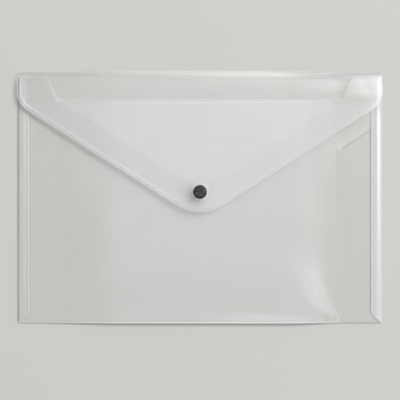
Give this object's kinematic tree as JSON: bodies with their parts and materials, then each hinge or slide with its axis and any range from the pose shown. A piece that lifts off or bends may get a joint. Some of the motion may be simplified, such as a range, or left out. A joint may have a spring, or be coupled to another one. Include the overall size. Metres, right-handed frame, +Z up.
{
  "type": "document wallet",
  "caption": "Clear plastic envelope wallet for A4 papers, with a pointed flap that folds over the front and closes with a dark press stud.",
  "frame": {"origin": "on the table, under the middle of the closed wallet lying on its back", "axes": "+X along the long side, +Y from the bottom fold to the rolled top, +Z up out of the front"},
  "size_m": [0.333, 0.23, 0.0102],
  "materials": {
    "clear_sheet": "frosted clear polypropylene, satin",
    "dark_stud": "moulded dark grey acetal, fine grain"
  },
  "bodies": {
    "pocket": {"back_panel": "clear_sheet", "front_panel": "clear_sheet", "bottom_fold": "clear_sheet", "left_tab": "clear_sheet", "right_tab": "clear_sheet", "front_stud": "dark_stud", "backing_cap": "dark_stud"},
    "roll": {"top_roll": "clear_sheet"},
    "lid": {"flap": "clear_sheet", "flap_cap": "dark_stud", "flap_socket": "dark_stud"}
  },
  "joints": [
    {"name": "lower_crease", "type": "hinge", "parent": "pocket", "child": "roll", "pos_m": [0, 0.1148, 0.0002], "axis": [-1, 0, 0], "range_deg": [0, 90]},
    {"name": "upper_crease", "type": "hinge", "parent": "roll", "child": "lid", "pos_m": [0, 0.11063, 0.0054], "axis": [-1, 0, 0], "range_deg": [0, 89.5]}
  ]
}
